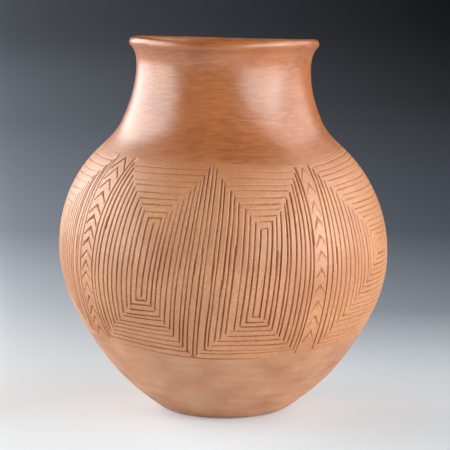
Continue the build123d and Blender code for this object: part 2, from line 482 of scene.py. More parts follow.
def cut(strokes, azimuths, heights, pressure, scatter=END_SCATTER):
    """Add the stroke or strokes of a hand that follows these places, and misses their ends by a little."""
    azimuth = np.radians(np.asarray(azimuths, float))
    run = OUTSIDE.run_at(np.asarray(heights, float))
    radius = OUTSIDE.at(run)[0].mean()
    steps = np.hypot(np.diff(azimuth) * radius, np.diff(run))
    length = np.concatenate([[0.0], np.cumsum(steps)])
    whole = length[-1]
    passes = [(stroke_dice.uniform(*END_MISS) * scatter, whole - stroke_dice.uniform(*END_MISS) * scatter)]
    if whole > TWO_PASS_LENGTH and stroke_dice.random() < TWO_PASS_SHARE:
        break_at = whole * stroke_dice.uniform(*PASS_BREAK)
        overlap = stroke_dice.uniform(*PASS_OVERLAP)
        passes = [(passes[0][0], break_at + overlap), (break_at - overlap, passes[0][1])]
    along = np.array([(azimuth[-1] - azimuth[0]) * radius, run[-1] - run[0]])
    across = np.array([along[1], -along[0]]) / max(np.linalg.norm(along), 1e-6)
    for number, (start, stop) in enumerate(passes):
        if stop - start < SHORTEST_STROKE:
            continue
        s = np.linspace(start, stop, max(LEAST_SAMPLES, int((stop - start) / SAMPLE_STEP)))
        on_line = np.clip(s, 0.0, whole)
        past_end = (s - on_line) / whole
        sway = PASS_OFFSET * number * stroke_dice.choice((-1, 1)) + sum(
            STROKE_WANDER
            * stroke_dice.uniform(*WANDER_SHARE)
            * np.sin(s / stroke_dice.uniform(*WANDER_LENGTH) + stroke_dice.uniform(0, FULL_TURN))
            for _ in range(WANDER_WAVES)
        )
        aside, up = (past_end * along[i] + sway * across[i] for i in (0, 1))
        drawn_azimuth = np.interp(on_line, length, azimuth) + aside / radius
        drawn_run = np.interp(on_line, length, run) + up
        firmness = np.interp(s, (0.0, whole), pressure) * stroke_dice.uniform(*FIRMNESS_SPREAD)
        tremble = np.sin(s / stroke_dice.uniform(*TREMBLE_LENGTH) + stroke_dice.uniform(0, FULL_TURN))
        half_width = STROKE_HALF_WIDTH * stroke_dice.uniform(*WIDTH_SPREAD)
        depth = STROKE_DEPTH * firmness * (1.0 + TREMBLE * tremble)
        strokes.append(Stroke(drawn_azimuth, drawn_run, half_width, depth))


def cut_down_line(strokes, edge):
    """A long line from border to border, at the side of a column or between two panels."""
    top, bottom = corner_heights(edge)
    heights = np.linspace(top - LINE_INSETS[0], bottom + LINE_INSETS[1], LINE_PLACES)
    cut(strokes, edge(heights), heights, DOWN_PRESSURE, LINE_SCATTER)


def cut_column(strokes, column):
    """Two edge lines with a row of chevrons between them, pointing up."""
    for edge in (column.left, column.right):
        cut_down_line(strokes, edge)
    top, bottom = corner_heights(column.left)
    point = top - FIRST_CHEVRON
    while point > bottom + CHEVRON_DROP:
        for edge in (column.left, column.right):
            drop = CHEVRON_DROP * stroke_dice.uniform(*LEG_DROP_SPREAD)
            heights = np.linspace(point, point - drop, LEG_PLACES)
            reach = np.linspace(0.0, column.reach * stroke_dice.uniform(*LEG_REACH_SPREAD), LEG_PLACES)
            middle = 0.5 * (column.left(heights) + column.right(heights))
            firmness = np.interp(point, (bottom, top), column.firmness[::-1])
            azimuths = middle + (edge(heights) - middle) * reach
            cut(strokes, azimuths, heights, np.multiply(LEG_PRESSURE, firmness), LEG_SCATTER)
        point -= column.pitch * stroke_dice.uniform(*PITCH_SPREAD)


def between(outer, inner, inward):
    return outer * (1.0 - inward) + inner * inward


def spaced(count):
    """How far in from a panel's edge each stroke of a set lies, up to 1 for the last one, at the core."""
    return [
        (i + stroke_dice.uniform(-UNEVEN_SPACING, UNEVEN_SPACING) * (i < count)) / count
        for i in range(1, count + 1)
    ]


def cut_panel(strokes, panel):
    """Nested rectangles, cut as four sets of parallel strokes that meet, more or less, at the corners."""
    core_top, core_bottom = panel.core_top[2], panel.core_bottom[2]
    core_sides = [
        np.polynomial.Polynomial.fit((core_bottom, core_top), (panel.core_bottom[i], panel.core_top[i]), 1)
        for i in (0, 1)
    ]
    left_count, top_count, right_count, bottom_count = panel.counts
    for outer, inner, count in zip(panel.sides, core_sides, (left_count, right_count)):
        top, bottom = corner_heights(outer)
        for inward in spaced(count):
            ends = between(top, core_top, inward), between(bottom, core_bottom, inward)
            heights = np.linspace(*ends, DOWN_PLACES)
            cut(strokes, between(outer(heights), inner(heights), inward), heights, DOWN_PRESSURE)
    level_sets = (
        (top_line, BAND_TOP, panel.core_top, top_count, panel.top_pressure),
        (foot_line, BAND_BOTTOM, panel.core_bottom, bottom_count, BOTTOM_PRESSURE),
    )
    for border, border_height, core, count, pressure in level_sets:
        for inward in spaced(count):
            ends = [between(outer(border_height), core[i], inward) for i, outer in enumerate(panel.sides)]
            azimuths = np.linspace(*ends, SHORT_PLACES)
            heights = between(border(azimuths), core[2], inward)
            firmer = np.multiply(pressure, between(*FIRMER_INWARD, inward))
            # The shorter strokes near the core miss their ends by less
            scatter = min(LEVEL_END_SCATTER, count * (1.0 - inward) + LEAST_LEVEL_SCATTER)
            cut(strokes, azimuths, heights, firmer, scatter)
    for number in range(1, panel.core_strokes + 1):
        heights = np.linspace(core_top - CORE_INSET, core_bottom + CORE_INSET, SHORT_PLACES)
        inward = number / (panel.core_strokes + 1)
        azimuths = between(core_sides[0](heights), core_sides[1](heights), inward)
        cut(strokes, azimuths, heights, DOWN_PRESSURE)


def incised_strokes():
    """All strokes of the band, in the order in which they are cut."""
    strokes = []
    for column in COLUMNS:
        cut_column(strokes, column)
    for divider in DIVIDERS:
        cut_down_line(strokes, divider)
    for panel in PANELS:
        cut_panel(strokes, panel)
    return strokes


def groove(distance, half_width, depth):
    """Depth of a cut at a distance from its middle: a rounded V in a shallow dish, as wet clay gives way,
    between two burrs, where it is less than nothing."""
    firmness = np.clip(depth / STROKE_DEPTH, 0.0, FIRMEST_CUT)
    across = distance / (half_width * between(LIGHTEST_WIDTH, 1.0, firmness))
    dish = DISH_SHARE * np.exp(-((distance / DISH_REACH) ** 2))
    burr = BURR_HEIGHT * firmness * np.exp(-(((across - BURR_PLACE) / BURR_SPREAD) ** 2))
    return depth * ((1.0 - DISH_SHARE) * np.clip(1.0 - across**2, 0.0, 1.0) ** CUT_ROUNDING + dish) - burr


def true_place(azimuth, run):
    """Places on the outer face without lumps, for measuring distances."""
    radius, height = OUTSIDE.at(run)
    return np.stack([radius * np.sin(azimuth), -radius * np.cos(azimuth), height], axis=-1)


class CutField:
    """Says how deep the strokes cut at any place on the band."""

    def __init__(self, strokes):
        self.points = np.concatenate([true_place(stroke.azimuth, stroke.run) for stroke in strokes])
        self.owner = np.repeat(np.arange(len(strokes)), [len(stroke.run) for stroke in strokes])
        self.depth = np.concatenate([stroke.depth for stroke in strokes])
        self.half_width = np.array([stroke.half_width for stroke in strokes])[self.owner]
        self.tree = KDTree(len(self.points))
        for index, point in enumerate(self.points):
            self.tree.insert(point, index)
        self.tree.balance()

    def nearest(self, azimuth, run):
        """For each place, the nearest stroke point, and the distance to the stroke through it."""
        places = true_place(azimuth, run)
        index = np.fromiter((self.tree.find(point)[1] for point in places), int, len(places))
        offset = places - self.points[index]
        distance = np.linalg.norm(offset, axis=1)
        for step in (-1, 1):
            other = np.clip(index + step, 0, len(self.points) - 1)
            along = self.points[other] - self.points[index]
            share = np.clip((offset * along).sum(1) / np.maximum((along**2).sum(1), 1e-9), 0.0, 1.0)
            gap = np.linalg.norm(offset - along * share[:, None], axis=1)
            distance = np.where(self.owner[other] == self.owner[index], np.minimum(distance, gap), distance)
        return index, distance

    def depth_at(self, azimuth, run):
        index, distance = self.nearest(azimuth, run)
        return groove(distance, self.half_width[index], self.depth[index])


def cut_mark(depth):
    """What the clays read of a cut: about 1 at the bottom of a firm stroke, and less than 0 on a burr."""
    return np.clip(depth / STROKE_DEPTH, -1.0, 1.0)


def border_cut(line_depth, azimuth, gap):
    return groove(gap, STROKE_HALF_WIDTH, line_depth(np.degrees(azimuth)))


def foot_gap(azimuth, run):
    return run - OUTSIDE.run_at(foot_line(np.degrees(azimuth)))


def top_gap(azimuth, run):
    return OUTSIDE.run_at(top_line(np.degrees(azimuth))) - run


def share_rows(start, stop, step):
    """Rows from start to stop, each one run, or one for each azimuth of the ring."""
    count = int(np.max(np.abs(np.subtract(stop, start))) / step) + 1
    return [start + np.subtract(stop, start) * t for t in np.linspace(0.0, 1.0, count + 1)]


def ring_faces(first, second):
    """Quads between two rings, each given as the indices of its points."""
    return list(zip(first, np.roll(first, -1), np.roll(second, -1), second))


def ring_indices(count, start=0):
    return [np.arange(RING_STEPS) + start + RING_STEPS * i for i in range(count)]


def clay_piece(name, points, faces, materials, inner_from, nodes, slot, **marks):
    """A closed piece of the jar. Faces from inner_from on are inside the jar and take the second material.
    A mark is a number for each outer point, in order, that materials read; it is 0 at the other points."""
    mesh = bpy.data.meshes.new(name)
    mesh.from_pydata((points * MM).tolist(), [], [[int(i) for i in face] for face in faces])
    for material in materials:
        mesh.materials.append(material)
    mesh.polygons.foreach_set("material_index", (np.arange(len(faces)) >= inner_from).astype(int))
    for mark, values in marks.items():
        filled = np.zeros(len(points))
        filled[: len(values)] = values
        mesh.attributes.new(mark, "FLOAT", "POINT").data.foreach_set("value", filled)
    mesh.shade_smooth()
    mesh.set_sharp_from_angle(angle=math.radians(SHARP_EDGE))
    piece = bpy.data.objects.new(name, mesh)
    bpy.context.collection.objects.link(piece)
    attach(piece, "root")
    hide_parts(*nodes)


def smoothed_lower_body(materials):
    """Base and plain lower wall, from the standing face up to the band's foot line."""
    face_radius = FOOT[0] - FOOT_ROUNDING
    edge = np.array([[face_radius, 0.0], [FOOT[0], 0.0], [*OUTSIDE.at(FOOT_ROUNDING)]])
    profile = [(radius, 0.0) for radius in FACE_RINGS]
    for t in np.linspace(0.0, 1.0, FOOT_EDGE_STEPS)[:-1]:
        profile.append((1 - t) ** 2 * edge[0] + 2 * t * (1 - t) * edge[1] + t**2 * edge[2])
    rings = []
    for radius, height in profile:
        radius = radius + FOOT_OVAL * np.cos(2 * RING) * radius / FOOT[0]
        x = radius * np.sin(RING) + drift(0.0)
        rings.append(np.stack([x, -radius * np.cos(RING), np.full(RING_STEPS, height)], axis=1))
    plain_runs = share_rows(np.full(RING_STEPS, FOOT_ROUNDING), foot_runs - BORDER_ROWS[-1], PLAIN_ROW)
    rings += [place(OUTSIDE, RING, run) for run in plain_runs[:-1]]
    cuts = [np.zeros(RING_STEPS)] * len(rings)
    for gap in BORDER_ROWS[::-1]:
        depth = border_cut(foot_line_depth, RING, gap)
        rings.append(place(OUTSIDE, RING, foot_runs - gap, depth))
        cuts.append(cut_mark(depth))
    outer_rings = len(rings)
    inner_runs = share_rows(INSIDE.run_at(BAND_FOOT[1]), FLOOR_RING, INNER_ROW)
    rings += [place(INSIDE, RING, run) for run in inner_runs]
    middle = [[drift(0.0), 0.0, 0.0], [drift(0.0), 0.0, FLOOR_THICKNESS]]
    points = np.concatenate([*rings, middle])
    indices = ring_indices(len(rings))
    under = len(points) - 2
    floor = len(points) - 1
    faces = [(under, b, a) for a, b in zip(indices[0], np.roll(indices[0], -1))]
    for lower, upper in zip(indices, indices[1:]):
        faces += ring_faces(lower, upper)
    faces += [(floor, a, b) for a, b in zip(indices[-1], np.roll(indices[-1], -1))]
    nodes = ("base_pancake", "lower_coil_1", "lower_coil_2")
    inner_from = RING_STEPS * outer_rings
    marks = {"cut": np.concatenate(cuts)}
    clay_piece("smoothed_lower_body", points, faces, materials, inner_from, nodes, "smoothed_clay", **marks)


def polished_neck(materials):
    """Slipped neck and rim, from the band's top line over the lip and down inside."""
    rings, cuts, slip_edges = [], [], []
    for gap in BORDER_ROWS:
        depth = border_cut(top_line_depth, RING, gap)
        rings.append(place(OUTSIDE, RING, top_runs + gap, depth))
        cuts.append(cut_mark(depth))
        slip_edges.append(np.full(RING_STEPS, math.exp(-gap / SLIP_EDGE)))
    neck_runs = share_rows(top_runs + BORDER_ROWS[-1], np.full(RING_STEPS, OUTSIDE.length), NECK_ROW)
    for run in neck_runs[1:]:
        rings.append(place(OUTSIDE, RING, run))
        slip_edges.append(np.exp(-(run - top_runs) / SLIP_EDGE))
    inner_runs = share_rows(INSIDE.length, INSIDE.run_at(SLIP_LINE[1]), NECK_INNER_ROW)
    inner = [place(INSIDE, RING, run) for run in inner_runs]
    # Over the lip, half a turn from the outer face's last ring to the inner face's first
    outer_edge = rings[-1]
    middle = 0.5 * (outer_edge + inner[0])
    radial = 0.5 * (outer_edge - inner[0])
    upright = np.stack([np.sin(RING), -np.cos(RING), np.zeros(RING_STEPS)], axis=1)
    rise = upright * upward(LIP_FLARE)[0] + np.array([0.0, 0.0, upward(LIP_FLARE)[1]])
    for turn in np.linspace(0.0, math.pi, LIP_STEPS)[1:-1]:
        rings.append(middle + radial * math.cos(turn) + rise * LIP_RADIUS * math.sin(turn))
    outer_rings = len(rings)
    points = np.concatenate([*rings, *inner])
    indices = ring_indices(len(rings) + len(inner))
    faces = []
    for lower, upper in zip(indices, [*indices[1:], indices[0]]):
        faces += ring_faces(lower, upper)
    nodes = ("neck_coil_1", "neck_coil_2", "neck_coil_3", "rim_coil", "neck_slip")
    inner_from = RING_STEPS * (outer_rings + SLIPPED_INNER_ROWS)
    marks = {"cut": np.concatenate(cuts), "slip_edge": np.concatenate(slip_edges)}
    clay_piece("polished_neck", points, faces, materials, inner_from, nodes, "polished_slip", **marks)


class BandSheet:
    """The band unrolled: places on it, and edges between them that its mesh has to follow."""

    def __init__(self):
        self.azimuths = []
        self.runs = []
        self.edges = []
        self.count = 0

    def add(self, azimuth, run):
        """Add places and return their indices."""
        self.azimuths.append(azimuth)
        self.runs.append(run)
        self.count += len(azimuth)
        return np.arange(self.count - len(azimuth), self.count)

    def follow(self, indices):
        self.edges += list(zip(indices[:-1].tolist(), indices[1:].tolist()))

    def mesh(self, outline):
        """Triangles over all places: azimuths and runs of their points, the triangles, and where each place
        went."""
        across = np.concatenate(self.azimuths) * BAND_FLAT_RADIUS
        flat = np.stack([across, np.concatenate(self.runs)], axis=1)
        vertices = [Vector(spot) for spot in flat.tolist()]
        points, _, triangles, sources, _, _ = delaunay_2d_cdt(
            vertices, self.edges, [outline], TRIANGLES_INSIDE, MERGE_DISTANCE
        )
        points = np.array([tuple(point) for point in points])
        found = np.zeros(self.count, int)
        for index, group in enumerate(sources):
            found[[source for source in group if source < self.count]] = index
        return points[:, 0] / BAND_FLAT_RADIUS, points[:, 1], np.array(triangles), found


def well_inside(azimuth, run, border_gap, seam_gap):
    """Which places lie at least this far from the band's borders and from the seam."""
    inside = (foot_gap(azimuth, run) > border_gap) & (top_gap(azimuth, run) > border_gap)
    return inside & (azimuth > RING[0] + seam_gap) & (azimuth < RING[0] + FULL_TURN - seam_gap)


def stroke_rows(sheet, strokes, field):
    """Rows of places along each stroke, left out where another stroke is nearer."""
    for number, stroke in enumerate(strokes):
        sections = max(LEAST_SECTIONS, int(len(stroke.run) * SAMPLE_STEP / SECTION_STEP))
        picks = np.linspace(0, len(stroke.run) - 1, sections).astype(int)
        azimuth, run = stroke.azimuth[picks], stroke.run[picks]
        radius = OUTSIDE.at(run)[0]
        along = np.stack([np.gradient(azimuth) * radius, np.gradient(run)], axis=1)
        along /= np.linalg.norm(along, axis=1)[:, None]
        # One more section past each end, where the cut closes
        cap = stroke.half_width * np.array([-1.0, 1.0])
        azimuth = np.concatenate([azimuth[:1], azimuth, azimuth[-1:]])
        run = np.concatenate([run[:1], run, run[-1:]])
        along = np.concatenate([along[:1], along, along[-1:]])
        radius = np.concatenate([radius[:1], radius, radius[-1:]])
        azimuth[[0, -1]] += cap * along[[0, -1], 0] / radius[[0, -1]]
        run[[0, -1]] += cap * along[[0, -1], 1]
        for rail in RAILS:
            offset = rail * stroke.half_width
            a = azimuth - along[:, 1] * offset / radius
            r = run + along[:, 0] * offset
            index, distance = field.nearest(a, r)
            keep = (field.owner[index] == number) | (distance > abs(offset) - RAIL_MARGIN)
            kept = np.flatnonzero(keep & well_inside(a, r, RAIL_BORDER_GAP, SEAM_GAP))
            indices = sheet.add(a[kept], r[kept])
            for stretch in np.split(np.arange(len(kept)), np.flatnonzero(np.diff(kept) > 1) + 1):
                sheet.follow(indices[stretch])


def fill_rows(sheet, field):
    """A loose grid of places where nothing is cut."""
    for row, run in enumerate(np.arange(foot_runs.min(), top_runs.max(), FILL_ROW)):
        steps = int(FULL_TURN * OUTSIDE.at(run)[0] / FILL_STEP)
        a = RING[0] + FULL_TURN * (np.arange(steps) + 0.5 * (row % 2)) / steps
        r = np.full(steps, run)
        keep = field.nearest(a, r)[1] > RAILS[-1] * STROKE_HALF_WIDTH + FILL_RAIL_GAP
        keep &= well_inside(a, r, FILL_BORDER_GAP, 2 * SEAM_GAP)
        sheet.add(a[keep], r[keep])


def incised_band(materials):
    """The band, with rows of points that follow every stroke, closed with the inside of its wall."""
    strokes = incised_strokes()
    field = CutField(strokes)
    sheet = BandSheet()
    foot = sheet.add(RING, foot_runs)
    foot_end = sheet.add(RING[:1] + FULL_TURN, foot_runs[:1])
    top = sheet.add(RING, top_runs)
    top_end = sheet.add(RING[:1] + FULL_TURN, top_runs[:1])
    seam_runs = np.linspace(foot_runs[0], top_runs[0], SEAM_ROWS + 1)[1:-1]
    left_seam = sheet.add(np.full(SEAM_ROWS - 1, RING[0]), seam_runs)
    right_seam = sheet.add(np.full(SEAM_ROWS - 1, RING[0] + FULL_TURN), seam_runs)
    outline = np.concatenate([foot, foot_end, right_seam, top_end, top[::-1], left_seam[::-1]]).tolist()
    for gap in BAND_BORDER_ROWS:
        sheet.add(RING[1:], foot_runs[1:] + gap)
        sheet.add(RING[1:], top_runs[1:] - gap)
    stroke_rows(sheet, strokes, field)
    fill_rows(sheet, field)
    azimuth, run, triangles, found = sheet.mesh(outline)

    # Both sides of the seam become one
    joined = np.arange(len(run))
    left = np.concatenate([foot[:1], top[:1], left_seam])
    right = np.concatenate([foot_end, top_end, right_seam])
    joined[found[right]] = found[left]
    used, joined = np.unique(joined, return_inverse=True)
    azimuth, run, found = azimuth[used], run[used], joined[found]
    triangles = joined[triangles]

    cuts = [
        field.depth_at(azimuth, run),
        border_cut(foot_line_depth, azimuth, foot_gap(azimuth, run)),
        border_cut(top_line_depth, azimuth, top_gap(azimuth, run)),
    ]
    depth = np.choose(np.argmax(np.abs(cuts), axis=0), cuts)
    depth[found[foot]] = border_cut(foot_line_depth, RING, 0.0)
    depth[found[top]] = border_cut(top_line_depth, RING, 0.0)
    outer = place(OUTSIDE, azimuth, run, depth)
    outer[found[foot]] = place(OUTSIDE, RING, foot_runs, depth[found[foot]])
    outer[found[top]] = place(OUTSIDE, RING, top_runs, depth[found[top]])
    inner_runs = share_rows(INSIDE.run_at(SLIP_LINE[1]), INSIDE.run_at(BAND_FOOT[1]), INNER_ROW)
    inner = [place(INSIDE, RING, run) for run in inner_runs]
    indices = [found[top], *ring_indices(len(inner), len(outer)), found[foot]]
    faces = triangles.tolist()
    inner_from = len(faces)
    for upper, lower in zip(indices, indices[1:]):
        faces += ring_faces(upper, lower)
    nodes = [f"belly_coil_{number}" for number in range(1, 7)]
    marks = {
        "cut": cut_mark(depth),
        "slip_edge": np.exp(-np.maximum(top_gap(azimuth, run), 0.0) / SLIP_EDGE),
    }
    points = np.concatenate([outer, *inner])
    clay_piece("incised_band", points, faces, materials, inner_from, nodes, "incised_clay", **marks)


def linear(hex_colour):
    """An sRGB hex colour as the linear colour, with alpha, that a shader takes."""
    channels = [int(hex_colour[i : i + 2], 16) / 255 for i in (1, 3, 5)]
    return (*(c / 12.92 if c <= 0.04045 else ((c + 0.055) / 1.055) ** 2.4 for c in channels), 1.0)


def add_node(tree, kind, inputs, **settings):
    """Add a shader node with these settings. An input is a constant, or the output socket that feeds it.
    Some inputs go by number. In a MapRange 0 is the value, 1 and 2 the range it comes from, 3 and 4 the
    range it goes to; in a Mix 0 is the share of the second colour, 6 the first colour and 7 the second."""
    node = tree.nodes.new("ShaderNode" + kind)
    for name, value in settings.items():
        setattr(node, name, value)
    for socket, value in inputs.items():
        if isinstance(value, bpy.types.NodeSocket):
            tree.links.new(value, node.inputs[socket])
        else:
            node.inputs[socket].default_value = value
    return node


def per_mm(*sizes):
    """Scale at which a pattern's blots have this size in millimetres, or three scales for three sizes."""
    scales = tuple(1.0 / (size * MM) for size in sizes)
    return scales if len(scales) > 1 else scales[0]


def new_material(name, ior):
    """A material with its tree, its shader and the place being shaded, in metres."""
    material = bpy.data.materials.new(name)
    material.use_nodes = True
    tree = material.node_tree
    shader = tree.nodes["Principled BSDF"]
    shader.inputs["IOR"].default_value = ior
    where = add_node(tree, "TexCoord", {}).outputs["Object"]
    return material, tree, shader, where


# Colours that more than one material uses
SLIP_DARK = linear("#945022")
SLIP_PALE = linear("#b36a3b")
BARE_DARK = linear("#c08052")
BARE_PALE = linear("#d19363")
# Colour of the cut clay, made darker than the clay alone so that it also paints the shade in the grooves
CUT_CLAY_AND_SHADE = linear("#8c4018")


def uneven_slip_edge(tree, where):
    """How near the slip's painted edge is, from 0 to about 1 on it, made uneven as a brush leaves it."""
    edge = add_node(tree, "Attribute", {}, attribute_name="slip_edge")
    brush_space = add_node(tree, "Mapping", {"Vector": where, "Scale": per_mm(10.0, 10.0, 2.6)})
    brush = add_node(tree, "TexNoise", {"Vector": brush_space.outputs[0], "Scale": 1.0, "Detail": 4.0})
    stray = add_node(tree, "MapRange", {0: brush.outputs[0], 1: 0.3, 2: 0.7, 3: 0.55, 4: 1.25})
    uneven = add_node(tree, "Math", {0: edge.outputs["Fac"], 1: stray.outputs[0]}, operation="MULTIPLY")
    return uneven.outputs[0]


def stone_polished_slip():
    """Red-brown slip, brushed on and rubbed with a smooth stone: a soft gloss with faint streaks that run
    round the neck, clouds where the coat is thicker, darker patches, a few pits, and a lower edge that
    thins out over the bare clay."""
    material, tree, shader, where = new_material("stone_polished_slip", ior=1.72)
    clouds = add_node(tree, "TexNoise", {"Vector": where, "Scale": per_mm(36.0), "Detail": 4.0})
    cloudy = add_node(tree, "MapRange", {0: clouds.outputs[0], 1: 0.34, 2: 0.66})
    coat = add_node(tree, "Mix", {0: cloudy.outputs[0], 6: SLIP_DARK, 7: SLIP_PALE}, data_type="RGBA")
    streak_space = add_node(tree, "Mapping", {"Vector": where, "Scale": per_mm(9.0, 9.0, 1.4)})
    streaks = add_node(tree, "TexNoise", {"Vector": streak_space.outputs[0], "Scale": 1.0, "Detail": 5.0})
    streaky = add_node(tree, "MapRange", {0: streaks.outputs[0], 1: 0.38, 2: 0.68, 3: 0.0, 4: 0.55})
    rubbed = add_node(
        tree, "Mix", {0: streaky.outputs[0], 6: coat.outputs[2], 7: linear("#c37e53")}, data_type="RGBA"
    )
    patches = add_node(tree, "TexNoise", {"Vector": where, "Scale": per_mm(13.0), "Detail": 2.0})
    patchy = add_node(tree, "MapRange", {0: patches.outputs[0], 1: 0.56, 2: 0.78, 3: 0.0, 4: 0.45})
    blotched = add_node(
        tree, "Mix", {0: patchy.outputs[0], 6: rubbed.outputs[2], 7: linear("#955533")}, data_type="RGBA"
    )
    # Pits where grit came away, in about one cell of twenty; their dark colour is painted shade in the
    # hollows
    cells = add_node(tree, "TexVoronoi", {"Vector": where, "Scale": per_mm(6.0)})
    hole = add_node(tree, "MapRange", {0: cells.outputs["Distance"], 1: 0.04, 2: 0.11, 3: 1.0, 4: 0.0})
    draw = add_node(tree, "SeparateColor", {0: cells.outputs["Color"]})
    few = add_node(tree, "Math", {0: draw.outputs[0], 1: 0.95}, operation="GREATER_THAN")
    pits = add_node(tree, "Math", {0: hole.outputs[0], 1: few.outputs[0]}, operation="MULTIPLY")
    pits_painted_shade = add_node(
        tree, "Mix", {0: pits.outputs[0], 6: blotched.outputs[2], 7: linear("#744329")}, data_type="RGBA"
    )
    edge = uneven_slip_edge(tree, where)
    thin = add_node(tree, "MapRange", {0: edge, 2: 1.1, 4: 0.6}, interpolation_type="SMOOTHSTEP")
    colour = add_node(
        tree, "Mix", {0: thin.outputs[0], 6: pits_painted_shade.outputs[2], 7: BARE_DARK}, data_type="RGBA"
    )
    polish = add_node(tree, "MapRange", {0: streaks.outputs[0], 1: 0.35, 2: 0.65, 3: 0.285, 4: 0.32})
    dull = add_node(
        tree, "Math", {0: thin.outputs[0], 1: 0.25, 2: polish.outputs[0]}, operation="MULTIPLY_ADD"
    )
    relief = add_node(
        tree, "Math", {0: pits.outputs[0], 1: -4.0, 2: streaks.outputs[0]}, operation="MULTIPLY_ADD"
    )
    bump = add_node(tree, "Bump", {"Height": relief.outputs[0], "Strength": 0.4, "Distance": 0.0003})
    tree.links.new(colour.outputs[2], shader.inputs["Base Color"])
    tree.links.new(dull.outputs[0], shader.inputs["Roughness"])
    tree.links.new(bump.outputs[0], shader.inputs["Normal"])
    return material


def incised_bare_clay():
    """Bare clay, smoothed and cut when leather-hard: matt, with dark cuts that shine less (the cut clay's
    own tone with painted shade over it), paler ridges (wear, with a painted highlight on the burrs), a
    fine grit, crumbs that the tool left, and some slip smeared over the top. The grit is drawn coarser
    than it is, to show at all."""
    material, tree, shader, where = new_material("incised_bare_clay", ior=1.8)
    clouds = add_node(tree, "TexNoise", {"Vector": where, "Scale": per_mm(30.0), "Detail": 4.0})
    cloudy = add_node(tree, "MapRange", {0: clouds.outputs[0], 1: 0.34, 2: 0.66})
    ground = add_node(tree, "Mix", {0: cloudy.outputs[0], 6: BARE_DARK, 7: BARE_PALE}, data_type="RGBA")
    edge = uneven_slip_edge(tree, where)
    smear = add_node(tree, "MapRange", {0: edge, 1: 0.0, 2: 1.0, 3: 0.0, 4: 0.7})
    smeared = add_node(
        tree, "Mix", {0: smear.outputs[0], 6: ground.outputs[2], 7: SLIP_PALE}, data_type="RGBA"
    )
    cells = add_node(tree, "TexVoronoi", {"Vector": where, "Scale": per_mm(3.4)})
    lump = add_node(tree, "MapRange", {0: cells.outputs["Distance"], 1: 0.08, 2: 0.26, 3: 0.7, 4: 0.0})
    draw = add_node(tree, "SeparateColor", {0: cells.outputs["Color"]})
    few = add_node(tree, "Math", {0: draw.outputs[0], 1: 0.86}, operation="GREATER_THAN")
    crumbs = add_node(tree, "Math", {0: lump.outputs[0], 1: few.outputs[0]}, operation="MULTIPLY")
    crumbed = add_node(
        tree, "Mix", {0: crumbs.outputs[0], 6: smeared.outputs[2], 7: linear("#d7a680")}, data_type="RGBA"
    )
    grit = add_node(tree, "TexNoise", {"Vector": where, "Scale": per_mm(1.7), "Detail": 4.0})
    grains = add_node(tree, "MapRange", {0: grit.outputs[0], 1: 0.47, 2: 0.7, 3: 0.0, 4: 0.6})
    gritty = add_node(
        tree, "Mix", {0: grains.outputs[0], 6: crumbed.outputs[2], 7: linear("#a96c46")}, data_type="RGBA"
    )
    cuts = add_node(tree, "Attribute", {}, attribute_name="cut")
    chatter = add_node(tree, "TexNoise", {"Vector": where, "Scale": per_mm(3.2), "Detail": 3.0})
    force = add_node(tree, "MapRange", {0: chatter.outputs[0], 1: 0.35, 2: 0.65, 3: 0.45, 4: 1.15})
    # The grooves take the cut clay colour by their depth: partly the darker clay of the cut, partly painted
    # shade in the recess
    shade = add_node(tree, "MapRange", {0: cuts.outputs["Fac"], 1: 0.04, 2: 0.7, 3: 0.0, 4: 0.48})
    shaded = add_node(tree, "Math", {0: shade.outputs[0], 1: force.outputs[0]}, operation="MULTIPLY")
    # Paler clay on the burrs beside each cut: partly wear, partly a painted highlight where the raised clay
    # catches the light
    burr = add_node(tree, "MapRange", {0: cuts.outputs["Fac"], 1: -0.02, 2: -0.14, 3: 0.0, 4: 0.4})
    burr_wear_and_highlight = add_node(tree, "Math", {0: burr.outputs[0], 1: chatter.outputs[0]}, operation="MULTIPLY")
    ridges_wear_and_highlight = add_node(
        tree, "Mix", {0: burr_wear_and_highlight.outputs[0], 6: gritty.outputs[2], 7: linear("#e6b894")}, data_type="RGBA"
    )
    colour = add_node(
        tree, "Mix", {0: shaded.outputs[0], 6: ridges_wear_and_highlight.outputs[2], 7: CUT_CLAY_AND_SHADE}, data_type="RGBA"
    )
    dull = add_node(tree, "MapRange", {0: cuts.outputs["Fac"], 1: 0.0, 2: 0.6, 3: 0.46, 4: 0.9})
    crumbly = add_node(tree, "MapRange", {0: cuts.outputs["Fac"], 1: 0.0, 2: 0.5, 3: 0.5, 4: 0.1})
    relief = add_node(
        tree, "Math", {0: crumbs.outputs[0], 1: 1.2, 2: grit.outputs[0]}, operation="MULTIPLY_ADD"
    )
    bump = add_node(tree, "Bump", {"Height": relief.outputs[0], "Strength": 0.35, "Distance": 0.0003})
    tree.links.new(colour.outputs[2], shader.inputs["Base Color"])
    tree.links.new(dull.outputs[0], shader.inputs["Roughness"])
    tree.links.new(crumbly.outputs[0], shader.inputs["Specular IOR Level"])
    tree.links.new(bump.outputs[0], shader.inputs["Normal"])
    return material


# A cloud that the fire left low on the wall, where fuel touched it: its middle and half sizes
FIRE_CLOUD = (-17.0, -55.0, 18.0)
FIRE_CLOUD_REACH = (19.0, 24.0, 14.0)


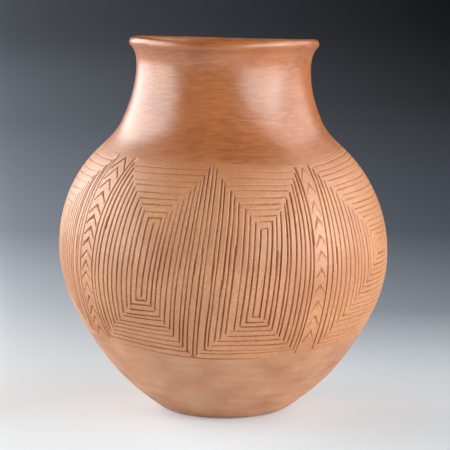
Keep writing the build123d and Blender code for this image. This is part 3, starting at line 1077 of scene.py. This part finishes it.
def hand_smoothed_clay():
    """Bare clay wiped with a wet hand: matt with a slight sheen, soft streaks that run round the wall,
    paler mottles, and a yellowish cloud from the fire with a redder edge."""
    material, tree, shader, where = new_material("hand_smoothed_clay", ior=1.7)
    clouds = add_node(tree, "TexNoise", {"Vector": where, "Scale": per_mm(34.0), "Detail": 4.0})
    cloudy = add_node(tree, "MapRange", {0: clouds.outputs[0], 1: 0.34, 2: 0.66})
    ground = add_node(
        tree, "Mix", {0: cloudy.outputs[0], 6: linear("#b1714a"), 7: linear("#cd9267")}, data_type="RGBA"
    )
    wipe_space = add_node(tree, "Mapping", {"Vector": where, "Scale": per_mm(26.0, 26.0, 4.5)})
    wipes = add_node(tree, "TexNoise", {"Vector": wipe_space.outputs[0], "Scale": 1.0, "Detail": 6.0})
    wiped = add_node(tree, "MapRange", {0: wipes.outputs[0], 1: 0.36, 2: 0.7, 3: 0.0, 4: 0.5})
    streaked = add_node(
        tree, "Mix", {0: wiped.outputs[0], 6: ground.outputs[2], 7: linear("#a4694a")}, data_type="RGBA"
    )
    mottle_space = add_node(tree, "Mapping", {"Vector": where, "Scale": per_mm(18.0, 18.0, 14.0)})
    mottles = add_node(
        tree,
        "TexNoise",
        {"Vector": mottle_space.outputs[0], "Scale": 1.0, "Detail": 5.0, "Roughness": 0.68},
    )
    mottled = add_node(tree, "MapRange", {0: mottles.outputs[0], 1: 0.36, 2: 0.68, 3: 0.0, 4: 0.5})
    speckled = add_node(
        tree, "Mix", {0: mottled.outputs[0], 6: streaked.outputs[2], 7: linear("#cf9d78")}, data_type="RGBA"
    )
    middle = [-centre / reach for centre, reach in zip(FIRE_CLOUD, FIRE_CLOUD_REACH)]
    cloud_space = add_node(
        tree, "Mapping", {"Vector": where, "Location": middle, "Scale": per_mm(*FIRE_CLOUD_REACH)}
    )
    drift_noise = add_node(tree, "TexNoise", {"Vector": where, "Scale": per_mm(22.0), "Detail": 3.0})
    from_middle = add_node(tree, "VectorMath", {0: cloud_space.outputs[0]}, operation="LENGTH")
    ragged = add_node(
        tree,
        "Math",
        {0: drift_noise.outputs[0], 1: 1.1, 2: from_middle.outputs["Value"]},
        operation="MULTIPLY_ADD",
    )
    reddish = add_node(tree, "MapRange", {0: ragged.outputs[0], 1: 1.95, 2: 1.55, 3: 0.0, 4: 0.35})
    redder = add_node(
        tree, "Mix", {0: reddish.outputs[0], 6: speckled.outputs[2], 7: linear("#b97650")}, data_type="RGBA"
    )
    within = add_node(tree, "MapRange", {0: ragged.outputs[0], 1: 1.68, 2: 0.95, 3: 0.0, 4: 0.6})
    smoked = add_node(
        tree, "Mix", {0: within.outputs[0], 6: redder.outputs[2], 7: linear("#cfa67c")}, data_type="RGBA"
    )
    # The foot line's cut takes the cut clay colour by its depth: partly the darker cut clay, partly painted
    # shade in the groove
    cuts = add_node(tree, "Attribute", {}, attribute_name="cut")
    colour = add_node(
        tree, "Mix", {0: cuts.outputs["Fac"], 6: smoked.outputs[2], 7: CUT_CLAY_AND_SHADE}, data_type="RGBA"
    )
    sheen = add_node(tree, "MapRange", {0: wipes.outputs[0], 1: 0.35, 2: 0.65, 3: 0.4, 4: 0.55})
    bump = add_node(tree, "Bump", {"Height": wipes.outputs[0], "Strength": 0.25, "Distance": 0.0006})
    tree.links.new(colour.outputs[2], shader.inputs["Base Color"])
    tree.links.new(sheen.outputs[0], shader.inputs["Roughness"])
    tree.links.new(bump.outputs[0], shader.inputs["Normal"])
    return material


def scraped_clay():
    """The inside, scraped with a gourd rib and left: rough, dull and darker with painted shade, as little
    light gets in, with marks round the wall.
    """
    material, tree, shader, where = new_material("scraped_clay", ior=1.5)
    scrape_space = add_node(tree, "Mapping", {"Vector": where, "Scale": per_mm(40.0, 40.0, 3.0)})
    scrapes = add_node(tree, "TexNoise", {"Vector": scrape_space.outputs[0], "Scale": 1.0, "Detail": 4.0})
    colour = add_node(
        tree, "Mix", {0: scrapes.outputs[0], 6: linear("#74482b"), 7: linear("#95623f")}, data_type="RGBA"
    )
    bump = add_node(tree, "Bump", {"Height": scrapes.outputs[0], "Strength": 0.6, "Distance": 0.0008})
    shader.inputs["Roughness"].default_value = 0.85
    tree.links.new(colour.outputs[2], shader.inputs["Base Color"])
    tree.links.new(bump.outputs[0], shader.inputs["Normal"])
    return material


# The stage, in metres: a sheet of graded paper, pale where the jar stands and greyer towards the back,
# sooner so at the right. The greying is partly the paper's grade and partly painted falloff of the light,
# which comes more from the left.
PAPER_FRONT = -3.4
PAPER_BACK = 24.0
PAPER_HALF_WIDTH = 3.4
# Tones of the paper along two lines that spread from a place this far in front of the jar: for each line,
# tones by nearness, which is 1 beside the jar and falls to 0 far behind it
GRADE_FROM = 1.35
GRADE_SPREAD = 0.114
GRADE_BEND = 0.5  # under 1, the left tones give way to the right ones sooner
LEFT_TONES = ((0.35, "#6d737c"), (0.6, "#8d95a0"), (0.94, "#f4f8fa"))
RIGHT_TONES = ((0.08, "#1b1c21"), (0.3, "#23252a"), (0.6, "#464c56"), (0.78, "#7c838c"), (1.0, "#e7edf1"))
# How much of the paper's own colour glows to the view whatever falls on it, far off and beside the jar:
# painted light, as the paper is no lamp
PAPER_GLOW_SHARE = (0.5, 0.32)
FAR_OFF = 0.5  # the nearness up to which the paper is far off
PAPER_ROUGHNESS = 0.8
# How bright the room is to the jar, and how it looks behind the sheet
ROOM_LIGHT = 0.08
ROOM_SEEN = 1.0
# Softboxes: name, azimuth, elevation, degrees that each is across and up, and brightness
SOFTBOXES = (
    ("left_softbox", -106.0, 13.0, 95.0, 75.0, 4.8),
    ("right_softbox", 52.0, 7.0, 67.5, 58.0, 4.6),
    ("right_far_softbox", 94.0, 26.0, 81.0, 71.5, 2.2),
)
LAMP_DISTANCE = 4.0
LAMP_AIM = Vector((0.0, 0.0, 0.13))
CLOTH_MIDDLE = (0.5, 0.5, 0.0)
CLOTH_FADE = (0.5, 0.34)  # how far from its middle a softbox's cloth is dark, and is fully bright
# The photograph's view
CAMERA_PLACE = (0.0, -1.3502, 0.3047)
CAMERA_DOWN = 7.528
CAMERA_TURN = -0.058
SENSOR_WIDTH = 36.0
LENS = 157.55
VIEW_END = 100.0


def paper_floor_with_painted_falloff():
    """The sheet that the jar stands on. A share of its own colour glows to the view as painted light, so it
    stays neutral; its grade is partly painted falloff of the light.
    """
    sides = (-PAPER_HALF_WIDTH, PAPER_HALF_WIDTH)
    corners = [(x, y, 0.0) for y in (PAPER_FRONT, PAPER_BACK) for x in sides]
    mesh = bpy.data.meshes.new("floor")
    mesh.from_pydata(corners, [], [(0, 1, 3, 2)])
    material, tree, shader, where = new_material("graded_paper_with_painted_falloff", ior=1.4)
    position = add_node(tree, "SeparateXYZ", {0: where})
    away = add_node(tree, "Math", {0: position.outputs["Y"], 1: GRADE_FROM}, operation="ADD")
    reach = add_node(tree, "Math", {0: away.outputs[0], 1: GRADE_FROM / 2}, operation="MAXIMUM")
    near = add_node(tree, "Math", {0: GRADE_FROM, 1: reach.outputs[0]}, operation="DIVIDE")
    aside = add_node(tree, "Math", {0: position.outputs["X"], 1: reach.outputs[0]}, operation="DIVIDE")
    to_right = add_node(tree, "MapRange", {0: aside.outputs[0], 1: -GRADE_SPREAD, 2: GRADE_SPREAD})
    lines = []
    for tones in (LEFT_TONES, RIGHT_TONES):
        line = add_node(tree, "ValToRGB", {0: near.outputs[0]})
        stops = line.color_ramp.elements
        stops[0].position, stops[1].position = tones[0][0], tones[-1][0]
        stops[0].color, stops[1].color = linear(tones[0][1]), linear(tones[-1][1])
        for nearness, tone in tones[1:-1]:
            stops.new(nearness).color = linear(tone)
        lines.append(line.outputs[0])
    sooner = add_node(tree, "Math", {0: to_right.outputs[0], 1: GRADE_BEND}, operation="POWER")
    grade = add_node(tree, "Mix", {0: sooner.outputs[0], 6: lines[0], 7: lines[1]}, data_type="RGBA")
    seen = add_node(tree, "LightPath", {})
    share = add_node(
        tree, "MapRange", {0: near.outputs[0], 1: FAR_OFF, 2: 1.0, 3: PAPER_GLOW_SHARE[0], 4: PAPER_GLOW_SHARE[1]}
    )
    glow = add_node(
        tree, "Math", {0: seen.outputs["Is Camera Ray"], 1: share.outputs[0]}, operation="MULTIPLY"
    )
    own = add_node(tree, "Emission", {"Color": grade.outputs[2], "Strength": 1.0})
    mixed = add_node(tree, "MixShader", {0: glow.outputs[0], 1: shader.outputs[0], 2: own.outputs[0]})
    shader.inputs["Roughness"].default_value = PAPER_ROUGHNESS
    tree.links.new(grade.outputs[2], shader.inputs["Base Color"])
    tree.links.new(mixed.outputs[0], tree.nodes["Material Output"].inputs["Surface"])
    mesh.materials.append(material)
    floor = bpy.data.objects.new("floor", mesh)
    bpy.context.collection.objects.link(floor)


def softbox(name, azimuth, elevation, across, up, brightness):
    """A panel lamp aimed at the middle of the jar, from where it is this many degrees across and up. Its
    cloth is brightest in the middle and fades out towards its edges."""
    lamp = bpy.data.lights.new(name, "AREA")
    lamp.shape = "RECTANGLE"
    lamp.size = 2 * LAMP_DISTANCE * math.tan(math.radians(across / 2))
    lamp.size_y = 2 * LAMP_DISTANCE * math.tan(math.radians(up / 2))
    lamp.energy = math.pi * lamp.size * lamp.size_y * brightness
    lamp.use_nodes = True
    tree = lamp.node_tree
    on_cloth = add_node(tree, "NewGeometry", {}).outputs["Parametric"]
    off_middle = add_node(tree, "VectorMath", {0: on_cloth, 1: CLOTH_MIDDLE}, operation="DISTANCE")
    fade = add_node(
        tree,
        "MapRange",
        {0: off_middle.outputs["Value"], 1: CLOTH_FADE[0], 2: CLOTH_FADE[1]},
        interpolation_type="SMOOTHSTEP",
    )
    tree.links.new(fade.outputs[0], tree.nodes["Emission"].inputs["Strength"])
    holder = bpy.data.objects.new(name, lamp)
    side, rise = math.radians(azimuth), math.radians(elevation)
    out = Vector((math.sin(side) * math.cos(rise), -math.cos(side) * math.cos(rise), math.sin(rise)))
    holder.location = LAMP_AIM + out * LAMP_DISTANCE
    holder.rotation_euler = out.to_track_quat("Z", "Y").to_euler()
    holder.visible_camera = False
    bpy.context.collection.objects.link(holder)


def studio_light():
    """Softboxes at the two sides, a weak one further round at the right, and a dim room."""
    for box in SOFTBOXES:
        softbox(*box)
    world = bpy.data.worlds.new("studio")
    world.use_nodes = True
    background = world.node_tree.nodes["Background"]
    background.inputs["Color"].default_value = linear("#c8ccd2")
    seen = add_node(world.node_tree, "LightPath", {})
    strength = add_node(
        world.node_tree, "MapRange", {0: seen.outputs["Is Camera Ray"], 3: ROOM_LIGHT, 4: ROOM_SEEN}
    )
    world.node_tree.links.new(strength.outputs[0], background.inputs["Strength"])
    bpy.context.scene.world = world


def photo_camera():
    """The photograph's view, from 1.38 m away and a little above."""
    camera = bpy.data.objects.new("camera", bpy.data.cameras.new("camera"))
    camera.data.sensor_width = SENSOR_WIDTH
    camera.data.lens = LENS
    camera.data.clip_end = VIEW_END
    camera.location = CAMERA_PLACE
    camera.rotation_euler = (math.radians(90.0 - CAMERA_DOWN), 0.0, math.radians(CAMERA_TURN))
    bpy.context.collection.objects.link(camera)
    bpy.context.scene.camera = camera


inner_clay = scraped_clay()
smoothed_lower_body([hand_smoothed_clay(), inner_clay])
incised_band([incised_bare_clay(), inner_clay])
polished_neck([stone_polished_slip(), inner_clay])
paper_floor_with_painted_falloff()
studio_light()
photo_camera()
bpy.context.scene.view_settings.view_transform = "Standard"
